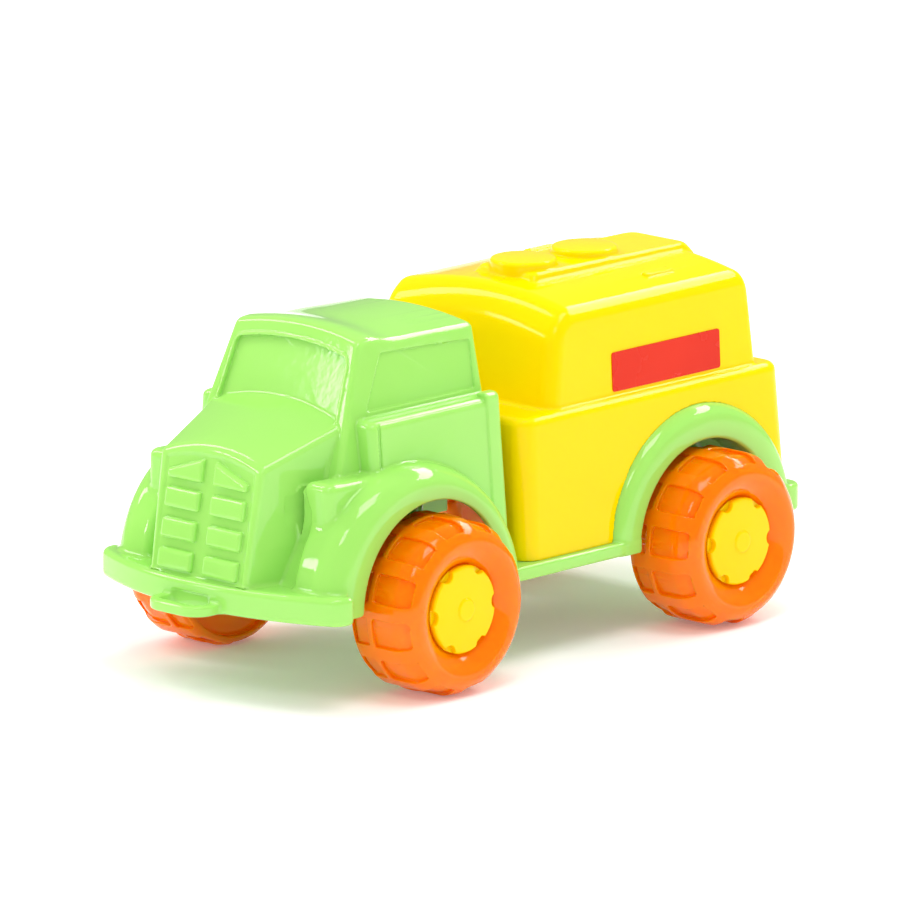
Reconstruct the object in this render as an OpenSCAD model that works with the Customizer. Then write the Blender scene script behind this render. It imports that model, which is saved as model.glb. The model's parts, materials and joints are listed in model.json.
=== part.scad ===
// Toy tanker truck: a green cab and chassis, a yellow tank and four orange wheels.
// +Z is up, the front of the truck faces -Y, and the origin is on the ground
// under the middle of the truck's length. Millimetres.

/* [Wheels and axles] */
// Distance between the two axles
wheelbase = 113.2; // [112:0.1:114]
// Place of the front axle along the truck
front_axle_y = -46.25; // [-46.6:0.05:-46]
// Radius of the tyre at its crown
tyre_r = 25; // [24.5:0.1:25.5]
// Width of the tyre
tyre_w = 24.5; // [23.5:0.1:25]
// Gap between the truck's middle plane and the inner face of a tyre
tyre_inner_x = 32.7; // [32.5:0.1:33.5]
// Thickness of the tyre's moulded wall
tyre_wall = 2; // [1.8:0.1:2.4]
// Number of pockets in each of the two tread rows
tread_pockets = 12; // [10:1:14]
// Depth of a tread pocket
pocket_depth = 0.8; // [0.5:0.1:1]
// Radius of the yellow hub disc
hub_r = 12.5; // [12:0.1:13]
// Number of scallops round the hub disc
hub_scallops = 6; // [5:1:8]
// Diameter of the steel axle
axle_d = 4; // [3.6:0.1:4.2]
// Radial running clearance between the axle and the chassis bearings
axle_clearance = 0.06; // [0.03:0.01:0.1]

/* [Body] */
// Thickness of the moulded walls
wall = 2; // [1.8:0.1:2.4]
// Underside of the bumper, the sills and the rear bumper
skirt_z = 25.5; // [25:0.1:26]
// Top of the bumper, the chassis decks and the rear bumper
deck_z = 33.5; // [33:0.1:34]
// Half width of the chassis sills and of the rear bumper
sill_half_w = 42; // [41:0.1:42.5]
// Half width of the cab at its foot
cab_half_w = 38; // [37.5:0.1:38.5]
// Half width of the cab at the ledge under its windows
cab_waist_half_w = 33.4; // [33:0.1:34]
// Height of the ledge under the cab windows
waist_z = 77; // [76:0.1:78]
// Half width of the tank's lower body at its foot
tank_half_w = 39.5; // [39:0.1:40]
// Height of the ledge round the tank's upper body
tank_ledge_z = 69; // [68:0.1:70]
// Top of the two round hatches
hatch_z = 104.2; // [103.5:0.1:104.5]
// Radius of the two round hatches
hatch_r = 9.5; // [9:0.1:9.8]
// Height of the crown of the cab's roof at its front
cab_roof_z = 99.2; // [98.5:0.1:99.5]
// Height of the crown of the tank's roof
tank_roof_z = 100; // [99.5:0.1:100.3]

/* [Arches] */
// Radius of the opening in the front fender
front_arch_r = 28; // [27.5:0.1:28.5]
// Radius of the opening in the rear fender
rear_arch_r = 27.4; // [27:0.1:28]
// Radius of the rear fender's outer edge
rear_fender_r = 36.8; // [36:0.1:37.2]

/* [Labels and fasteners] */
// Length of the side label
label_l = 44.6; // [40:0.1:46]
// Height of the side label
label_h = 11.2; // [10:0.1:12]
// Radius of a screw's shank
screw_r = 1.4; // [1.3:0.1:1.5]

/* [Hidden] */

$fn = 64;
arc_steps = 6;
reach = 400;
axle_z = tyre_r;
rear_axle_y = front_axle_y + wheelbase;
axle_r = axle_d / 2;
tyre_outer_x = tyre_inner_x + tyre_w;
axle_half_l = tyre_outer_x - 6;
seat_gap = 0.1;

// Bumper plan: a front edge of this radius between two rounded ends
bumper_front_y = -99.4;
bumper_r = 100;
bumper_half_w = 47;
bumper_back_y = -82.5;
bumper_end_r = 3.5;
bumper_heel_r = 2.5;
foot_gap = 0.3;

// Decks between the wheels, and the bearings below them
deck_half_w = 31;
deck_t = 2;
bearing_t = 5;
bearing_half_l = 7;
bearing_r = 6;
sill_t = 3;
front_deck_end_y = -13;
rear_deck_start_y = 50;
rear_y = 107.75;

// Tow eye at the foot of the bumper
eye_half_w = 11;
eye_tip_y = -107.75;
eye_t = 3;
slot_half_l = 7.5;
slot_front_y = -104.3;
slot_back_y = bumper_front_y + 1.2;
slot_top_z = 30.2;

// Screw bosses
boss_r = 3.5;
head_r = 2.8;
head_t = 2;
screw_l = 11;
cab_boss_places = [[-12, -78.5], [12, -78.5], [-20, -32], [20, -32]];
tank_boss_places = [[-31, 2.8], [31, 2.8], [-20, 88], [20, 88]];

// The space under the cab and under the tank is one: their facing walls end at this height
hollow_half_w = 30;
hollow_z = 48;

// ---------- outlines ----------

// Points of an arc about c from angle a to angle b
function arc(c, r, a, b, n = arc_steps) =
    [for (i = [0:n]) c + r * [cos(a + (b - a) * i / n), sin(a + (b - a) * i / n)]];

// The corner b, between a and c, replaced by an arc of radius r
function fillet(a, b, c, r) =
    let (
        u = (a - b) / norm(a - b),
        v = (c - b) / norm(c - b),
        half = acos(u * v) / 2,
        middle = b + (u + v) / norm(u + v) * r / sin(half),
        start = b + u * r / tan(half) - middle,
        turn = (cross(u, v) > 0 ? -1 : 1) * (180 - 2 * half)
    )
    [for (i = [0:arc_steps])
        let (t = turn * i / arc_steps)
        middle + [start.x * cos(t) - start.y * sin(t), start.x * sin(t) + start.y * cos(t)]];

// An outline whose corners [x, y, r] are rounded by r
function rounded(corners) =
    let (n = len(corners))
    [for (i = [0:n - 1])
        let (
            p = corners[i],
            before = corners[(i + n - 1) % n],
            after = corners[(i + 1) % n]
        )
        each (p[2] > 0
            ? fillet([before.x, before.y], [p.x, p.y], [after.x, after.y], p[2])
            : [[p.x, p.y]])];

// A rectangle of half width w from y0 to y1 with corner radius r
function plan_rect(w, y0, y1, r) = rounded([[-w, y0, r], [w, y0, r], [w, y1, r], [-w, y1, r]]);

// A crowned top: half width w, edge height z_edge and middle height z_top, from z0 up
function crowned(w_foot, w_edge, z0, z_edge, z_top, r) =
    let (
        rise = z_top - z_edge,
        crown_r = (w_edge * w_edge + rise * rise) / (2 * rise),
        span = asin(w_edge / crown_r),
        crown = arc([0, z_top - crown_r], crown_r, 90 - span * 0.75, 90 + span * 0.75, 10),
        corners = concat([[-w_foot, z0, 0], [w_foot, z0, 0], [w_edge, z_edge, r]],
                         [for (p = crown) [p.x, p.y, 0]], [[-w_edge, z_edge, r]])
    )
    rounded(corners);

// Extrude an outline drawn in x-z, in y-z or in x-y
module along_y(outline) {
    rotate([90, 0, 0])
        linear_extrude(height = reach, center = true)
            polygon(outline);
}

module along_x(outline) {
    rotate([90, 0, 90])
        linear_extrude(height = reach, center = true)
            polygon(outline);
}

module along_z(outline) {
    linear_extrude(height = reach, center = true)
        polygon(outline);
}

// The body whose front, side and plan views are the three outlines
module block(front, side, plan) {
    intersection() {
        along_y(front);
        along_x(side);
        along_z(plan);
    }
}

module both_sides() {
    children();
    mirror([1, 0, 0])
        children();
}

// A cylinder lying along X from x0 to x1, with its axis at y, z
module x_rod(x0, x1, y, z, r) {
    translate([x0, y, z])
        rotate([0, 90, 0])
            cylinder(h = x1 - x0, r = r);
}

// A box between two corners
module box(low, high) {
    translate(low)
        cube(high - low);
}

// ---------- chassis ----------

module bumper_outline(inset) {
    r = bumper_r - inset;
    w = bumper_half_w - inset;
    back_y = bumper_back_y - inset / 2;
    centre_y = bumper_front_y + bumper_r;
    depth = sqrt(r * r - w * w);
    heel_r = bumper_heel_r - inset * 0.75;
    end_r = bumper_end_r - inset;
    // the two front lines of the polygon touch the arc at the bumper's ends
    intersection() {
        translate([0, centre_y])
            circle(r = r, $fn = 180);
        polygon(rounded([[-w, back_y, heel_r], [w, back_y, heel_r],
                         [w, centre_y - depth, end_r], [0, centre_y - r * r / depth, 0],
                         [-w, centre_y - depth, end_r]]));
    }
}

module bumper() {
    difference() {
        translate([0, 0, skirt_z])
            linear_extrude(height = deck_z - skirt_z)
                bumper_outline(0);
        translate([0, 0, skirt_z - 1])
            linear_extrude(height = deck_z - wall - skirt_z + 1)
                bumper_outline(wall);
    }
}

module tow_eye() {
    translate([0, 0, skirt_z])
        linear_extrude(height = eye_t)
            polygon(rounded([[-eye_half_w, bumper_front_y + 2.5, 0],
                             [-eye_half_w, eye_tip_y, 7],
                             [eye_half_w, eye_tip_y, 7],
                             [eye_half_w, bumper_front_y + 2.5, 0]]));
}

// The slot of the tow eye, which runs on into the foot of the bumper's front wall
module eye_slot() {
    translate([0, 0, skirt_z - 1])
        linear_extrude(height = slot_top_z - skirt_z + 1)
            polygon(rounded([[-slot_half_l, slot_front_y, 2.4], [slot_half_l, slot_front_y, 2.4],
                             [slot_half_l, slot_back_y, 1], [-slot_half_l, slot_back_y, 1]]));
}

module bearings(y) {
    both_sides()
        difference() {
            union() {
                box([deck_half_w - bearing_t, y - bearing_half_l, axle_z],
                    [deck_half_w, y + bearing_half_l, deck_z - deck_t / 2]);
                x_rod(deck_half_w - bearing_t, deck_half_w, y, axle_z, bearing_r);
            }
            x_rod(deck_half_w - bearing_t - 1, deck_half_w + 1, y, axle_z,
                  axle_r + axle_clearance);
        }
}

// The rear fender: a half ring round the wheel with a rolled outer face. Its inner part,
// between the tank and the wheel, stops above the sill
fender_band = 3;
liner_foot_z = 31.5;

module rear_fender() {
    lip_x = sill_half_w;
    side_x = cab_half_w;
    well_x = deck_half_w - wall;
    difference() {
        translate([0, rear_axle_y, axle_z])
            rotate([0, 90, 0])
                rotate([0, 0, 90])
                    rotate_extrude(angle = 180, $fn = 96)
                        polygon(rounded([[rear_arch_r, well_x, 0],
                                         [rear_arch_r + wall, well_x, 0],
                                         [rear_arch_r + wall, side_x - fender_band, 0],
                                         [rear_fender_r, side_x - fender_band, 0],
                                         [rear_fender_r, lip_x - 0.6, 3.2],
                                         [rear_arch_r, lip_x, 1.2]]));
        box([0, rear_axle_y - rear_fender_r, 0],
            [side_x - fender_band + 1, rear_axle_y - rear_arch_r / 2, liner_foot_z]);
    }
}

// The wall that closes the inner side of the rear wheel well
module wheel_well_wall() {
    intersection() {
        x_rod(deck_half_w - wall, deck_half_w, rear_axle_y, axle_z, rear_arch_r + 0.5);
        box([0, rear_axle_y - 40, deck_z - deck_t], [50, rear_axle_y + 40, 80]);
    }
}

module rear_skirt() {
    difference() {
        translate([0, 0, skirt_z])
            linear_extrude(height = deck_z - skirt_z)
                polygon(plan_rect(sill_half_w, rear_deck_start_y, rear_y, 5));
        translate([0, 0, skirt_z - 1])
            linear_extrude(height = deck_z - deck_t - skirt_z + 1)
                polygon(plan_rect(sill_half_w - wall, rear_deck_start_y - 10, rear_y - wall, 3));
        both_sides()
            x_rod(deck_half_w, sill_half_w + 5, rear_axle_y, axle_z, rear_arch_r + 0.5);
    }
}

module chassis() {
    color([0.62, 0.96, 0.40])
        difference() {
            union() {
                bumper();
                tow_eye();
                // front deck between the wheels
                box([-deck_half_w, bumper_back_y - 8, deck_z - deck_t],
                    [deck_half_w, front_deck_end_y, deck_z]);
                // cross member under the joint of the cab and the tank
                box([-sill_half_w, front_deck_end_y - 2, skirt_z - 1],
                    [sill_half_w, 6.5, skirt_z + sill_t]);
                box([-deck_half_w, front_deck_end_y - 2, skirt_z - 1],
                    [deck_half_w, front_deck_end_y, deck_z]);
                // sills
                both_sides()
                    box([33.5, -18, skirt_z - 1],
                        [sill_half_w, rear_axle_y - rear_arch_r + 1, skirt_z + sill_t]);
                rear_skirt();
                both_sides() {
                    rear_fender();
                    wheel_well_wall();
                }
                bearings(front_axle_y);
                bearings(rear_axle_y);
            }
            eye_slot();
            // screw clearance holes
            for (p = cab_boss_places)
                translate([p.x, p.y, 0])
                    cylinder(h = 60, r = screw_r + 0.2, $fn = 24);
            for (p = tank_boss_places)
                translate([p.x, p.y, 0])
                    cylinder(h = 60, r = screw_r + 0.2, $fn = 24);
        }
}

// ---------- cab ----------

// Outlines of the wide lower cab, inset by t
cab_front_y = -61.2;
cab_rear_y = -8.6;
ledge_drop = 0.6;
function cab_front(t) = rounded([[-cab_half_w - 0.4 + t, skirt_z - 10, 0],
                                 [cab_half_w + 0.4 - t, skirt_z - 10, 0],
                                 [cab_waist_half_w - t, waist_z - ledge_drop - t, 2],
                                 [26, waist_z - t, 0],
                                 [-26, waist_z - t, 0],
                                 [-cab_waist_half_w + t, waist_z - ledge_drop - t, 2]]);
function cab_side(t) = rounded([[cab_front_y + t, skirt_z - 10, 0],
                                [cab_rear_y - t, skirt_z - 10, 0],
                                [cab_rear_y - 1 - t, waist_z + 1 - t, 0],
                                [cab_front_y + t, waist_z + 1 - t, 0]]);
function cab_plan(t) = plan_rect(cab_half_w + 1 - t, cab_front_y + t, cab_rear_y - t, 4.5 - t);

// Outlines of the greenhouse
house_foot_w = 26.5;
house_top_w = 23.9;
house_foot_z = waist_z - 12;
house_edge_drop = 2.4;
roof_fall = 1;
screen_foot_y = -66.5;
screen_top_y = -57.2;
function house_front(t) = crowned(house_foot_w - t, house_top_w - t, house_foot_z,
                                  cab_roof_z - house_edge_drop - t, cab_roof_z - t, 1.3);
function house_side(t) = rounded([[screen_foot_y + t, house_foot_z, 0],
                                  [-9 - t, house_foot_z, 0],
                                  [-10.4 - t, cab_roof_z - roof_fall - t, 1.5],
                                  [screen_top_y + t, cab_roof_z - t, 1.3]]);
function house_plan(t) = plan_rect(27 - t, -66.5 + t, -8.6 - t, 3);

// Outlines of the hood. Its sides and front lean back with the grille, and its crowned
// top is tilted by the slope from front to back
grille_foot_y = -96.55;
grille_foot_z = 34.2;
grille_lean = 10.4;
hood_foot_w = 18.4;
hood_flare = 0.22;
hood_l = 60;
hood_back_y = -58.4;
hood_edge_y = -90.6;
hood_edge_z = 66.3;
hood_slope = atan(9.2 / 24.7);
function hood_w(l) = hood_foot_w + hood_flare * l;
function hood_plan(t) = rounded([[-hood_w(0) + t, t, 1.5], [hood_w(0) - t, t, 1.5],
                                 [hood_w(hood_l) - t, hood_l, 0],
                                 [-hood_w(hood_l) + t, hood_l, 0]]);
function hood_side() = [[-110, skirt_z - 10], [hood_back_y, skirt_z - 10],
                        [hood_back_y, 90], [-110, 90]];
function hood_top(t) = crowned(40, 26, -90, -4.6 - t, 3.6 - t, 0.01);

module hood(t) {
    intersection() {
        translate([0, grille_foot_y, grille_foot_z])
            rotate([-grille_lean, 0, 0])
                along_z(hood_plan(t));
        along_x(hood_side());
        translate([0, hood_edge_y, hood_edge_z])
            rotate([hood_slope, 0, 0])
                along_y(hood_top(t));
    }
}

// The front fenders: two round sweeps about X, each with a rolled outer edge
fender_x = 43.7;
fender_roll = 8.5;
fender_inner_x = 20;
fender_front = [front_axle_y, axle_z + 1.1];
fender_front_r = 42.2;
fender_rear = [-56.25, 16.4];
fender_rear_r = 52.2;

module fender_sweep(centre, r, t) {
    translate([0, centre.x, centre.y])
        rotate([90, 0, 90])
            rotate_extrude($fn = 120)
                polygon(rounded([[0, fender_inner_x, 0], [r - t, fender_inner_x, 0],
                                 [r - t, fender_x - t, fender_roll - t],
                                 [0, fender_x - t, 0]]));
}

module front_fender(t) {
    intersection() {
        fender_sweep(fender_front, fender_front_r, t);
        fender_sweep(fender_rear, fender_rear_r, t);
        box([0, -110, skirt_z - 5], [60, 0, 80]);
    }
}

// The square lamp housing between the hood and the fender
function pod_front(t) = rounded([[24.5 + t, skirt_z - 10, 0], [35.6 - t, skirt_z - 10, 0],
                                 [35.6 - t, 62.8 - t, 1.8], [24.5 + t, 62.8 - t, 1.8]]);
function pod_side(t) = rounded([[-80.6 + t, skirt_z - 10, 0], [-58, skirt_z - 10, 0],
                                [-58, 62.4 - t, 0], [-80.6 + t, 62.8 - t, 2.5]]);
function pod_plan(t) = rounded([[24.5 + t, -80.6 + t, 2.5 - t / 2],
                                [35.6 - t, -80.6 + t, 2.5 - t / 2],
                                [35.6 - t, -58, 0], [24.5 + t, -58, 0]]);

module cab_block(t) {
    block(cab_front(t), cab_side(t), cab_plan(t));
    block(house_front(t), house_side(t), house_plan(t));
    hood(t);
    both_sides() {
        front_fender(t);
        block(pod_front(t), pod_side(t), pod_plan(t));
    }
}

module cab_bosses() {
    intersection() {
        for (p = cab_boss_places)
            translate([p.x, p.y, deck_z])
                cylinder(h = 60, r = boss_r, $fn = 32);
        cab_block(0.5);
    }
}

// Raised pads in two columns on the grille; the top two are cut by the hood's crown
pad_in_x = 2;
pad_out_x = 15.3;
pad_rows = [[0.8, 5.6], [8.8, 13.8], [17.3, 22.6]];
pad_proud = 1.2;
pad_root = 1;
function pad(z0, z1_in, z1_out) = rounded([[pad_in_x, z0, 0.6], [pad_out_x, z0, 0.6],
                                           [pad_out_x, z1_out, 0.6], [pad_in_x, z1_in, 0.6]]);

module grille() {
    translate([0, grille_foot_y, grille_foot_z])
        rotate([-grille_lean, 0, 0])
            both_sides()
                translate([0, pad_root, 0])
                    rotate([90, 0, 0])
                        linear_extrude(height = pad_root + pad_proud) {
                            for (row = pad_rows)
                                polygon(pad(row[0], row[1], row[1]));
                            polygon(pad(26, 31.8, 27.4));
                        }
}

window_depth = 0.8;

// What lies outside the greenhouse once its walls are moved in by the windows' depth
module windscreen_recess() {
    difference() {
        intersection() {
            along_y(rounded([[-22.4, waist_z, 1], [22.4, waist_z, 1],
                             [21, 94.4, 1.6], [-21, 94.4, 1.6]]));
            box([-30, -80, waist_z], [30, -50, cab_roof_z]);
        }
        along_x(house_side(window_depth));
    }
}

module side_window_recess() {
    difference() {
        intersection() {
            along_x(rounded([[-55, 78.4, 0.8], [-13.2, 78.4, 0.8],
                             [-13.8, 91.8, 0.8], [-51.4, 93.2, 0.8]]));
            box([20, -60, waist_z], [30, 0, cab_roof_z]);
        }
        along_y(house_front(window_depth));
    }
}

module cab_shell() {
    color([0.62, 0.96, 0.40])
        difference() {
            union() {
                difference() {
                    cab_block(0);
                    cab_block(wall);
                }
                cab_bosses();
                grille();
            }
            windscreen_recess();
            both_sides()
                side_window_recess();
            // the front stands on the bumper, with the feet of the fenders behind it,
            // and the back stands on the sills
            box([-reach, -reach, 0], [reach, bumper_back_y + foot_gap, deck_z]);
            box([-reach, bumper_back_y, 0], [reach, fender_rear.x, skirt_z]);
            box([-reach, fender_rear.x - 1, 0], [reach, 0, skirt_z + sill_t]);
            // room for the front deck, the cross member and the joined hollow
            box([-deck_half_w - foot_gap, bumper_back_y, 0],
                [deck_half_w + foot_gap, front_deck_end_y + foot_gap, deck_z]);
            box([-hollow_half_w, -20, 0], [hollow_half_w, 0, hollow_z]);
            both_sides()
                x_rod(deck_half_w, 60, front_axle_y, axle_z + 1.1, front_arch_r);
            for (p = cab_boss_places)
                translate([p.x, p.y, 0])
                    cylinder(h = deck_z + 10, r = screw_r + 0.05, $fn = 24);
        }
}

// ---------- tank ----------

tank_front_y = -5.2;
tank_rear_y = 105.3;
upper_front_y = 9.2;
upper_rear_y = 96.4;
upper_half_w = 34.7;
upper_foot_z = tank_ledge_z - 10;

function lower_front(t) = rounded([[-tank_half_w + t, skirt_z, 0], [tank_half_w - t, skirt_z, 0],
                                   [37.8 - t, tank_ledge_z - t, 2.5],
                                   [-37.8 + t, tank_ledge_z - t, 2.5]]);
function lower_side(t) = rounded([[tank_front_y + t, skirt_z, 0], [tank_rear_y - t, skirt_z, 0],
                                  [tank_rear_y - 2.6 - t, tank_ledge_z - t, 3],
                                  [tank_front_y + 0.6 + t, tank_ledge_z - t, 3]]);
function lower_plan(t) = plan_rect(tank_half_w - t, tank_front_y + t, tank_rear_y - t, 6 - t);
roof_edge_drop = 4.6;
roof_bevel_l = 6.6;
roof_bevel_h = 4.8;
function upper_front(t) = crowned(upper_half_w + 0.5 - t, upper_half_w - 1.2 - t, upper_foot_z,
                                  tank_roof_z - roof_edge_drop - t, tank_roof_z - t, 3.4);
function upper_side(t) = rounded([[upper_front_y - 2 + t, upper_foot_z, 0],
                                  [upper_rear_y + 1 - t, upper_foot_z, 0],
                                  [upper_rear_y - 3.2 - t, tank_roof_z - t, 6],
                                  [upper_front_y + 3 + roof_bevel_l + t, tank_roof_z - t, 2],
                                  [upper_front_y + 3 + t, tank_roof_z - roof_bevel_h - t, 2]]);
function upper_plan(t) = plan_rect(upper_half_w + 0.5 - t, upper_front_y - 2 + t,
                                   upper_rear_y + 1 - t, 5 - t);

module tank_block(t) {
    block(lower_front(t), lower_side(t), lower_plan(t));
    block(upper_front(t), upper_side(t), upper_plan(t));
}

// The raised walkway along the tank's spine with its two round hatches
walk_top_z = 101.6;
walk_foot_z = 95;
hatch_y = [35, 60.3];
module walkway() {
    intersection() {
        along_y(rounded([[-13, walk_foot_z, 0], [13, walk_foot_z, 0],
                         [10.8, walk_top_z, 1], [-10.8, walk_top_z, 1]]));
        along_x(rounded([[22.5, walk_foot_z, 0], [94.6, walk_foot_z, 0],
                         [92.6, walk_top_z, 1.5], [28, walk_top_z, 2]]));
    }
    for (y = hatch_y)
        translate([0, y, walk_foot_z])
            cylinder(h = hatch_z - walk_foot_z, r = hatch_r);
}

module tank_bosses() {
    intersection() {
        for (p = tank_boss_places)
            translate([p.x, p.y, deck_z])
                cylinder(h = 80, r = boss_r, $fn = 32);
        tank_block(0.5);
    }
    // the front bosses reach down to the cross member
    for (side = [-1, 1])
        translate([side * tank_boss_places[1].x, tank_boss_places[1].y, skirt_z + sill_t])
            cylinder(h = 10, r = boss_r, $fn = 32);
}

module tank_shell() {
    color([1.0, 0.85, 0.02])
        difference() {
            union() {
                difference() {
                    union() {
                        tank_block(0);
                        walkway();
                    }
                    tank_block(wall);
                }
                tank_bosses();
            }
            // stands on the sills in front of the rear wheels and on the deck behind them
            box([-80, -20, 0], [80, 40, skirt_z + sill_t]);
            box([-80, 39, 0], [80, 120, deck_z]);
            both_sides()
                x_rod(deck_half_w - wall - 0.3, 60, rear_axle_y, axle_z, rear_fender_r - 2.5);
            both_sides()
                x_rod(cab_half_w - 3.3, 60, rear_axle_y, axle_z, rear_fender_r + 0.2);
            // the hollow is joined to the cab's
            box([-hollow_half_w, -20, 0], [hollow_half_w, tank_front_y + wall + 0.1, hollow_z]);
            for (p = tank_boss_places)
                translate([p.x, p.y, 0])
                    cylinder(h = (p.y < 10 ? skirt_z + sill_t : deck_z) + 10, r = screw_r + 0.05,
                             $fn = 24);
        }
}

// ---------- labels ----------

label_y = 57.1;
label_z = 76;
label_t = 0.3;

function wall_x(z) = upper_half_w + 0.5 - (z - upper_foot_z)
                     * 1.7 / (tank_roof_z - roof_edge_drop - upper_foot_z);

module side_label() {
    low = label_z - label_h / 2;
    high = label_z + label_h / 2;
    intersection() {
        along_y([[wall_x(low), low], [wall_x(low) + label_t, low],
                 [wall_x(high) + label_t, high], [wall_x(high), high]]);
        along_x(rounded([[label_y - label_l / 2, low, 0.8], [label_y + label_l / 2, low, 0.8],
                         [label_y + label_l / 2, high, 0.8], [label_y - label_l / 2, high, 0.8]]));
    }
}

module left_label() {
    color([0.85, 0.08, 0.06])
        intersection() {
            side_label();
            box([0, -200, 0], [100, 200, 200]);
        }
}

module right_label() {
    mirror([1, 0, 0])
        left_label();
}

// ---------- wheels ----------

// Half section of the tyre as [radius, distance from the inner face]: a cup that is open
// on its inner side, with a rolled outer side wall, a hub seat and a sleeve
function tyre_section() =
    let (
        r = tyre_r,
        w = tyre_w,
        t = tyre_wall,
        seat = w - 4.5,
        sleeve_r = 5 + seat_gap
    )
    rounded([[sleeve_r, seat - 8, 0], [sleeve_r + t, seat - 8, 0], [sleeve_r + t, seat - t, 1],
             [hub_r + 1, seat - t, 1], [hub_r + 4, w - t - 1, 2], [r - t - 3, w - t - 1, 5],
             [r - t - 0.8, w - 9, 2], [r - t - 0.8, 4, 3], [r - 5, 0, 0], [r - 3, 0, 0],
             [r, 3.5, 3], [r, w - 6.5, 7], [r - 7, w, 6.5], [hub_r + 2.5, w, 2.5],
             [hub_r + seat_gap, seat + 2.5, 0.5], [hub_r + seat_gap, seat, 0],
             [sleeve_r, seat, 0]]);

// The raised ridge between the two rows of tread pockets, off centre towards the inner face
ridge_x = 8.8;
ridge_w = 1.8;

module tread_cuts() {
    pitch = 360 / tread_pockets;
    open = pitch * 0.64;
    for (i = [0:tread_pockets - 1])
        rotate([0, 0, pitch * i])
            for (row = [[2, ridge_x - ridge_w / 2], [ridge_x + ridge_w / 2, tyre_w - 5]])
                rotate_extrude(angle = open)
                    translate([tyre_r - pocket_depth, row[0]])
                        square([3, row[1] - row[0]]);
}

// A tyre standing at the origin with its axis along +X and its inner face at x = 0
module tyre() {
    color([1.0, 0.45, 0.02])
        rotate([90, 0, 90])
            difference() {
                rotate_extrude($fn = 120)
                    polygon(tyre_section());
                tread_cuts();
            }
}

// A hub: the scalloped disc that shows, and the boss that grips the axle
module hub() {
    seat = tyre_w - 4.5;
    disc_t = 2.2;
    boss_end = 1.2;
    color([1.0, 0.88, 0.03])
        rotate([90, 0, 90])
            difference() {
                union() {
                    translate([0, 0, seat])
                        difference() {
                            cylinder(h = disc_t, r = hub_r);
                            for (i = [0:hub_scallops - 1])
                                rotate([0, 0, 360 / hub_scallops * i])
                                    translate([hub_r + 0.4, 0, 0.4])
                                        cylinder(h = disc_t, r = 2.2, $fn = 32);
                        }
                    translate([0, 0, boss_end])
                        cylinder(h = seat - boss_end + 0.5, r = 5, $fn = 48);
                    translate([0, 0, seat + disc_t - 0.2])
                        cylinder(h = 0.7, r = 3, $fn = 32);
                }
                translate([0, 0, boss_end - 1])
                    cylinder(h = axle_half_l - tyre_inner_x - boss_end + 1, r = axle_r);
            }
}

// Put a wheel part, drawn with its inner face at x = 0, on its axle
module at_wheel(side, y) {
    translate([0, y, axle_z])
        mirror([side < 0 ? 1 : 0, 0, 0])
            translate([tyre_inner_x, 0, 0])
                children();
}

module front_left_tyre() { at_wheel(1, front_axle_y) tyre(); }
module front_right_tyre() { at_wheel(-1, front_axle_y) tyre(); }
module rear_left_tyre() { at_wheel(1, rear_axle_y) tyre(); }
module rear_right_tyre() { at_wheel(-1, rear_axle_y) tyre(); }
module front_left_hub() { at_wheel(1, front_axle_y) hub(); }
module front_right_hub() { at_wheel(-1, front_axle_y) hub(); }
module rear_left_hub() { at_wheel(1, rear_axle_y) hub(); }
module rear_right_hub() { at_wheel(-1, rear_axle_y) hub(); }

// ---------- axles and screws ----------

module axle(y) {
    color([0.72, 0.73, 0.75])
        x_rod(-axle_half_l, axle_half_l, y, axle_z, axle_r);
}

module front_axle() { axle(front_axle_y); }
module rear_axle() { axle(rear_axle_y); }

// A pan-head screw driven upwards, its head bearing on a face at height z
module screw(x, y, z) {
    color([0.75, 0.75, 0.78])
        translate([x, y, z]) {
            difference() {
                translate([0, 0, -head_t])
                    cylinder(h = head_t, r = head_r, $fn = 32);
                // cross slot
                for (turn = [0, 90])
                    rotate([0, 0, turn])
                        box([-1.6, -0.35, -head_t - 1], [1.6, 0.35, -head_t + 0.9]);
            }
            cylinder(h = screw_l, r = screw_r, $fn = 24);
        }
}

module cab_screws() {
    for (p = cab_boss_places)
        screw(p.x, p.y, deck_z - deck_t);
}

module tank_screws() {
    for (p = tank_boss_places)
        screw(p.x, p.y, p.y < 10 ? skirt_z - 1 : deck_z - deck_t);
}

chassis();
cab_shell();
tank_shell();
front_axle();
rear_axle();
front_left_tyre();
front_right_tyre();
rear_left_tyre();
rear_right_tyre();
front_left_hub();
front_right_hub();
rear_left_hub();
rear_right_hub();
left_label();
right_label();
cab_screws();
tank_screws();
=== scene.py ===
"""Looks for the toy tanker truck: moulded shells, tyres, hubs, labels, materials, light and camera.

The moulded shells are written as signed distance functions in millimetres, in the frame of the
CAD model: each is negative inside the plastic. They are meshed on a grid, and every vertex is
then moved onto the exact surface, so rounded edges and fillets are true curves."""

import json
import math

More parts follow.
